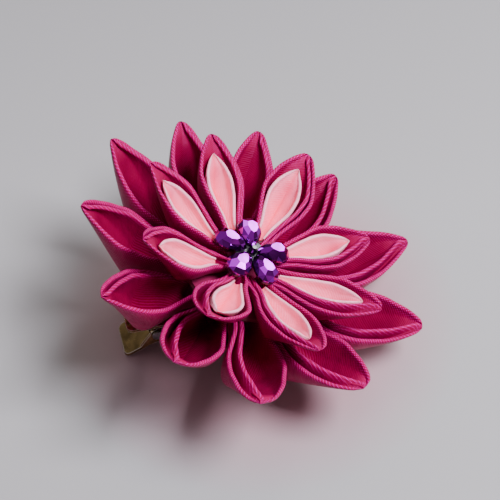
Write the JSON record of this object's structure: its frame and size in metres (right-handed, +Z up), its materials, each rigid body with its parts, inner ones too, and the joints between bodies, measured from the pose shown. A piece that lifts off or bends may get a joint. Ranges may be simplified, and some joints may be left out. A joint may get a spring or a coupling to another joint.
{
  "type": "kanzashi flower hair clip",
  "caption": "Kanzashi hair ornament: flower of folded satin petals in two rings with pale petals inside, drop-shaped stones in the middle, on a sprung steel hair clip.",
  "frame": {"origin": "on the floor, under the middle of the box of the part", "axes": "+Z up from the floor, +X along the clip from its levers to its jaws, +Y to the left of that"},
  "size_m": [0.0684, 0.0716, 0.0393],
  "materials": {
    "satin_magenta": "satin",
    "satin_pale": "satin",
    "felt": "matte",
    "stone_purple": "cut and polished",
    "stone_dark": "cut and polished",
    "setting": "polished",
    "clip_steel": "polished",
    "spring_steel": "drawn"
  },
  "bodies": {
    "flower": {"petal_lower_01": "satin_magenta", "petal_lower_02": "satin_magenta", "petal_lower_03": "satin_magenta", "petal_lower_04": "satin_magenta", "petal_lower_05": "satin_magenta", "petal_lower_06": "satin_magenta", "petal_lower_07": "satin_magenta", "petal_lower_08": "satin_magenta", "petal_lower_09": "satin_magenta", "petal_lower_10": "satin_magenta", "petal_lower_11": "satin_magenta", "petal_upper_01": "satin_magenta", "petal_upper_02": "satin_magenta", "petal_upper_03": "satin_magenta", "petal_upper_04": "satin_magenta", "petal_upper_05": "satin_magenta", "petal_upper_06": "satin_magenta", "petal_upper_07": "satin_magenta", "petal_upper_08": "satin_magenta", "petal_pale_01": "satin_pale", "petal_pale_02": "satin_pale", "petal_pale_03": "satin_pale", "petal_pale_04": "satin_pale", "petal_pale_05": "satin_pale", "petal_pale_06": "satin_pale", "petal_pale_07": "satin_pale", "petal_pale_08": "satin_pale", "felt_back": "felt", "felt_middle": "felt", "stone_1": "stone_purple", "stone_2": "stone_purple", "stone_3": "stone_purple", "stone_4": "stone_purple", "stone_5": "stone_purple", "stone_centre": "stone_dark", "stone_plate": "setting", "clip_top": "clip_steel", "pivot_pin": "spring_steel", "spring": "spring_steel"},
    "jaw": {"clip_jaw": "clip_steel", "spring_leg": "spring_steel"}
  },
  "joints": [
    {"name": "jaw_hinge", "type": "hinge", "parent": "flower", "child": "jaw", "pos_m": [-0.02211, 0.0006, 0.00638], "axis": [0, 1, 0], "range_deg": [0, 35], "stiffness_Nm_per_rad": 0.04, "springref_deg": -34.38}
  ]
}
